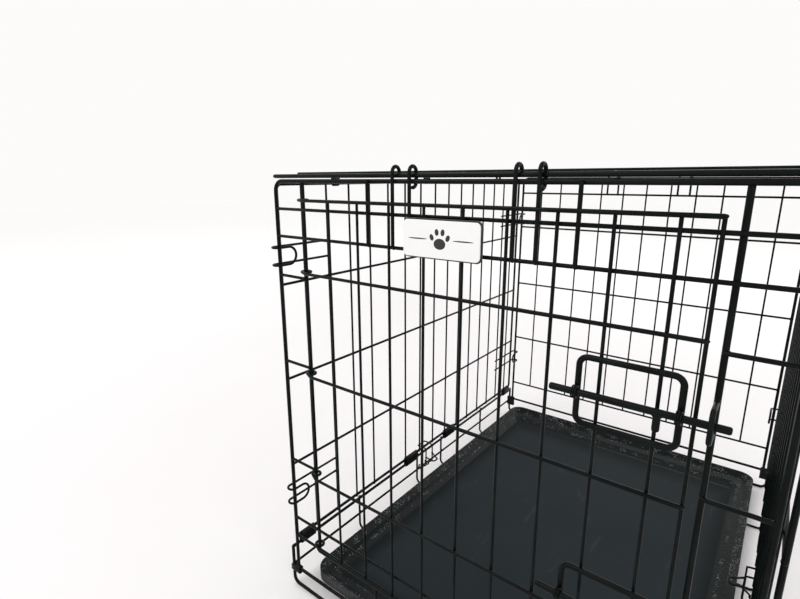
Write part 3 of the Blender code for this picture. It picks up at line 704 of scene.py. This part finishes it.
def sheet_sleeve(node, low_z, high_z, steel):
    """A strip of sheet steel rolled round two wires."""
    low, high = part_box(node)
    outer = (high[0] - low[0]) / 2
    middle = (Vector(low) + Vector(high)) / 2
    work = bmesh.new()
    turn = Matrix.Translation((middle.x, low[1], low_z)) @ Matrix.Rotation(math.radians(90), 4, "X")
    bmesh.ops.create_circle(work, segments=40, radius=outer - 0.0001, matrix=turn)
    upper = [vert for vert in work.verts if vert.co.z > low_z + 1e-6]
    bmesh.ops.translate(work, verts=upper, vec=(0, 0, high_z - low_z))
    made = bmesh.ops.extrude_edge_only(work, edges=work.edges[:])
    far = [item for item in made["geom"] if isinstance(item, bmesh.types.BMVert)]
    bmesh.ops.translate(work, verts=far, vec=(0, high[1] - low[1], 0))
    bmesh.ops.recalc_face_normals(work, faces=work.faces)
    mesh = mesh_of(work, node + "_sheet")
    mesh.shade_smooth()
    piece = show(node + "_sheet", mesh, steel, "base", [node])
    wall = piece.modifiers.new("Sheet", "SOLIDIFY")
    wall.thickness = 0.0009
    wall.offset = -1 if sheet_faces_out(mesh, middle) else 1
    edge = piece.modifiers.new("Edges", "BEVEL")
    edge.width = 0.00025
    edge.segments = 2
    edge.limit_method = "ANGLE"


def hinge_clip(node, hinge_z, steel):
    """A strip of sheet rolled into two lobes round the corner of an end wall and the base's end."""
    low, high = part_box(node)
    end_y = math.copysign(HALF_L, low[1])
    bottom_z = low[2] + CLIP_LOBE_R + 0.0006
    work = bmesh.new()
    start = (low[0] + CLIP_END_GAP, end_y, bottom_z)
    turn = Matrix.Translation(start) @ Matrix.Rotation(math.radians(90), 4, "Y")
    bmesh.ops.create_circle(work, segments=40, radius=CLIP_LOBE_R, matrix=turn)
    upper = [vert for vert in work.verts if vert.co.z > bottom_z + 1e-6]
    bmesh.ops.translate(work, verts=upper, vec=(0, 0, hinge_z - bottom_z))
    flanks = [edge for edge in work.edges if edge.calc_length() > (hinge_z - bottom_z) * 0.9]
    cut = bmesh.ops.subdivide_edges(work, edges=flanks, cuts=5)
    waist = [item for item in cut["geom_inner"] if isinstance(item, bmesh.types.BMVert)]
    span = hinge_z - bottom_z
    for vert in waist:
        share = math.sin(math.pi * (vert.co.z - bottom_z) / span)
        vert.co.y = end_y + (vert.co.y - end_y) * (1 - CLIP_WAIST * share)
    made = bmesh.ops.extrude_edge_only(work, edges=work.edges[:])
    far = [item for item in made["geom"] if isinstance(item, bmesh.types.BMVert)]
    bmesh.ops.translate(work, verts=far, vec=(high[0] - low[0] - 2 * CLIP_END_GAP, 0, 0))
    bmesh.ops.recalc_face_normals(work, faces=work.faces)
    mesh = mesh_of(work, node + "_sheet")
    mesh.shade_smooth()
    piece = show(node + "_sheet", mesh, steel, "base", [node])
    wall = piece.modifiers.new("Sheet", "SOLIDIFY")
    wall.thickness = 0.0010
    wall.offset = 0
    edge = piece.modifiers.new("Edges", "BEVEL")
    edge.width = 0.0003
    edge.segments = 2
    edge.limit_method = "ANGLE"


def rounded_sheet(work, low, high, radius, z):
    """A flat face in the plane of X and Y with round corners."""
    size = (high[0] - low[0], high[1] - low[1], 1, 1)
    centre = ((high[0] + low[0]) / 2, (high[1] + low[1]) / 2, z)
    where = Matrix.Translation(centre) @ Matrix.Diagonal(size)
    bmesh.ops.create_grid(work, x_segments=1, y_segments=1, size=0.5, matrix=where)
    bmesh.ops.bevel(
        work, geom=work.verts[:], offset=radius, affect="VERTICES", segments=10, profile=0.5, material=-1
    )
    return work.faces[:][0]


def pan(plastic):
    """A tray of rounded outlines from the skirt's foot over the rim and down two slopes to the floor."""
    low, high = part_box("pan")
    wall, corner = 0.0020, 0.020
    top, floor = high[2], low[2] + 0.0021
    ledge = top - 0.0067
    profile = (
        (0.0, low[2] + 0.0010), (0.0, top - 0.0010), (0.0003, top - 0.0003), (0.0010, top), (0.0028, top),
        (0.0034, top - 0.0004), (0.0094, ledge + 0.0007), (0.0104, ledge), (0.0172, ledge - 0.0002),
        (0.0182, ledge - 0.0008), (0.0246, floor + 0.0006), (0.0258, floor + 0.0001), (0.0274, floor),
        (0.0284, floor), (0.0340, floor),
    )
    work = bmesh.new()
    rings = []
    for inset, z in profile:
        stretched = inset + max(0, inset - 0.003) * (PAN_BACK_STRETCH - 1)
        radius = corner - inset * 0.42
        near, far = (low[0] + inset, low[1] + inset), (high[0] - inset, high[1] - stretched)
        outline = rounded_loop(near, far, z * Z, radius, radius, X, Y)
        rings.append([work.verts.new(point) for point in outline])
    for outer, inner in zip(rings, rings[1:]):
        for i in range(len(outer)):
            work.faces.new((outer[i - 1], outer[i], inner[i], inner[i - 1]))
    work.faces.new(rings[-1])
    mesh = mesh_of(work, "pan_tray")
    mesh.shade_smooth()
    piece = show("pan_tray", mesh, plastic, "pan", ["pan"])
    thick = piece.modifiers.new("Wall", "SOLIDIFY")
    thick.thickness = wall
    thick.offset = -1


def stand_up(work, y):
    """Turns a sheet drawn in X and Y up into X and Z at the given y, facing the door end."""
    turn = Matrix.Translation((0, y, 0)) @ Matrix.Rotation(math.pi / 2, 4, "X")
    bmesh.ops.transform(work, matrix=turn, verts=work.verts)


def sign_part(name, node, inset, depth, plastic):
    """A rounded plate with a softly bevelled front edge."""
    low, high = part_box(node)
    work = bmesh.new()
    radius = 0.004 if node == "sign_plate" else 0.0052
    face = rounded_sheet(work, (low[0], low[2]), (high[0], high[2]), radius, 0)
    made = bmesh.ops.extrude_face_region(work, geom=[face])
    verts = [item for item in made["geom"] if isinstance(item, bmesh.types.BMVert)]
    bmesh.ops.translate(work, verts=verts, vec=(0, 0, depth))
    bmesh.ops.recalc_face_normals(work, faces=work.faces)
    stand_up(work, high[1])
    mesh = mesh_of(work, name)
    smooth(mesh, 35)
    piece = show(name, mesh, plastic, "door", [node])
    edge = piece.modifiers.new("Edges", "BEVEL")
    edge.width = inset
    edge.segments = 4
    edge.limit_method = "ANGLE"
    edge.angle_limit = math.radians(50)


def paw_print(ink):
    """A plain paw print, raised a little from the sign plate, between two rules."""
    low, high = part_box("sign_plate")
    middle_x, middle_z = (low[0] + high[0]) / 2, (low[2] + high[2]) / 2
    face_y = high[1] - SIGN_DEPTH
    work = bmesh.new()
    pads = [(0.0, -0.0034, 0.0056, 0.0044, 0)]
    for side in (-1, 1):
        for x, z, tilt in ((0.0076, 0.0016, -24), (0.0028, 0.0058, -8)):
            pads.append((side * x, z, 0.0019, 0.0027, side * tilt))
    for x, z, wide, tall, tilt in pads:
        where = Matrix.Translation((middle_x + x, middle_z + z, 0))
        where = where @ Matrix.Rotation(math.radians(tilt), 4, "Z")
        where = where @ Matrix.Diagonal((wide, tall, PRINT_HEIGHT, 1))
        bmesh.ops.create_uvsphere(work, u_segments=28, v_segments=12, radius=1, matrix=where)
    for side in (-1, 1):
        centre = (middle_x + side * 0.0215, middle_z, 0)
        where = Matrix.Translation(centre) @ Matrix.Diagonal((0.0095, 0.00055, PRINT_HEIGHT, 1))
        bmesh.ops.create_uvsphere(work, u_segments=28, v_segments=12, radius=1, matrix=where)
    stand_up(work, face_y)
    mesh = mesh_of(work, "sign_paw_print")
    mesh.shade_smooth()
    show("sign_paw_print", mesh, ink, "door")


# Surroundings.


def area_light(name, place, target, size, energy, colour=(1, 1, 1)):
    data = bpy.data.lights.new(name, "AREA")
    data.shape = "RECTANGLE"
    data.size, data.size_y = size
    data.energy = energy
    data.color = colour
    light = bpy.data.objects.new(name, data)
    light.location = place
    light.rotation_euler = (Vector(target) - Vector(place)).to_track_quat("-Z", "Y").to_euler()
    bpy.context.scene.collection.objects.link(light)


def studio():
    work = bmesh.new()
    bmesh.ops.create_grid(work, x_segments=2, y_segments=2, size=9)
    mesh = mesh_of(work, "studio_floor")
    mesh.materials.append(pale_floor())
    floor = bpy.data.objects.new("studio_floor", mesh)
    bpy.context.scene.collection.objects.link(floor)
    area_light("key", (-1.1, -1.5, 2.4), (0, 0, 0.2), (1.6, 1.6), 24)
    area_light("fill", (2.0, -1.2, 1.5), (0, 0, 0.25), (2.0, 1.6), 8)
    area_light("back", (0.5, 2.2, 2.0), (0, 0, 0.2), (2.4, 1.4), 14)
    world = bpy.data.worlds.new("studio")
    bpy.context.scene.world = world
    world.use_nodes = True
    background = world.node_tree.nodes["Background"]
    background.inputs["Color"].default_value = (1.0, 0.99, 0.985, 1)
    background.inputs["Strength"].default_value = 0.98
    bpy.context.scene.view_settings.view_transform = "Standard"


def camera():
    data = bpy.data.cameras.new("camera")
    data.lens = CAMERA_LENS
    data.sensor_width = SENSOR_WIDTH
    data.sensor_fit = "HORIZONTAL"
    data.clip_start = 0.01
    made = bpy.data.objects.new("camera", data)
    bpy.context.scene.collection.objects.link(made)
    turn = Matrix.Rotation(CAMERA_YAW, 4, "Z") @ Matrix.Rotation(math.pi / 2 - CAMERA_PITCH, 4, "X")
    made.matrix_world = Matrix.Translation(CAMERA_PLACE) @ turn @ Matrix.Rotation(CAMERA_ROLL, 4, "Z")
    bpy.context.scene.camera = made


def crate():
    coating = black_coating(
        "black_wire_coating", (0.0016, 0.0028, 0.0027, 1), (0.0042, 0.0066, 0.0062, 1), (0.10, 0.10, 0.095, 1)
    )
    steel = black_coating(
        "black_sheet_coating", (0.0045, 0.0050, 0.0052, 1), (0.0110, 0.0118, 0.0118, 1), (0.22, 0.21, 0.20, 1)
    )
    white = plate_plastic("white_plate_plastic", (0.83, 0.83, 0.82, 1), (0.72, 0.72, 0.71, 1), 0.26)
    backing = plate_plastic("black_backing_plastic", (0.014, 0.014, 0.015, 1), (0.028, 0.028, 0.029, 1), 0.38)
    ink = plate_plastic("black_paw_ink", (0.010, 0.010, 0.011, 1), (0.020, 0.020, 0.021, 1), 0.42)
    base_frame(coating)
    pan(pan_plastic())
    front_wall(coating)
    door(coating)
    for name, z in BOLTS.items():
        bolt("bolt_" + name, z, coating)
    back_wall(coating)
    top_panel(coating)
    for side, side_name in ((-1, "left"), (1, "right")):
        side_wall(side, side_name + "_wall", coating)
        side_lock(side, side_name + "_lock", coating)
        for place in ("front", "mid_front", "mid_back", "back"):
            sheet_sleeve(f"sleeve_{side_name}_{place}", BASE_RAIL_Z, SIDE_BOTTOM, steel)
        for end_name, hinge_z in (("front", FRONT_HINGE_Z), ("back", BACK_HINGE_Z)):
            hinge_clip(f"hinge_clip_{side_name}_{end_name}", hinge_z, steel)
    for count in (1, 2, 3):
        sheet_sleeve(f"top_hinge_ring_{count}", SIDE_TOP, TOP_Z, steel)
    sign_part("sign_white_plate", "sign_plate", 0.0006, SIGN_DEPTH, white)
    sign_part("sign_black_backing", "sign_back", 0.0004, BACKING_DEPTH, backing)
    paw_print(ink)


camera()
studio()
crate()
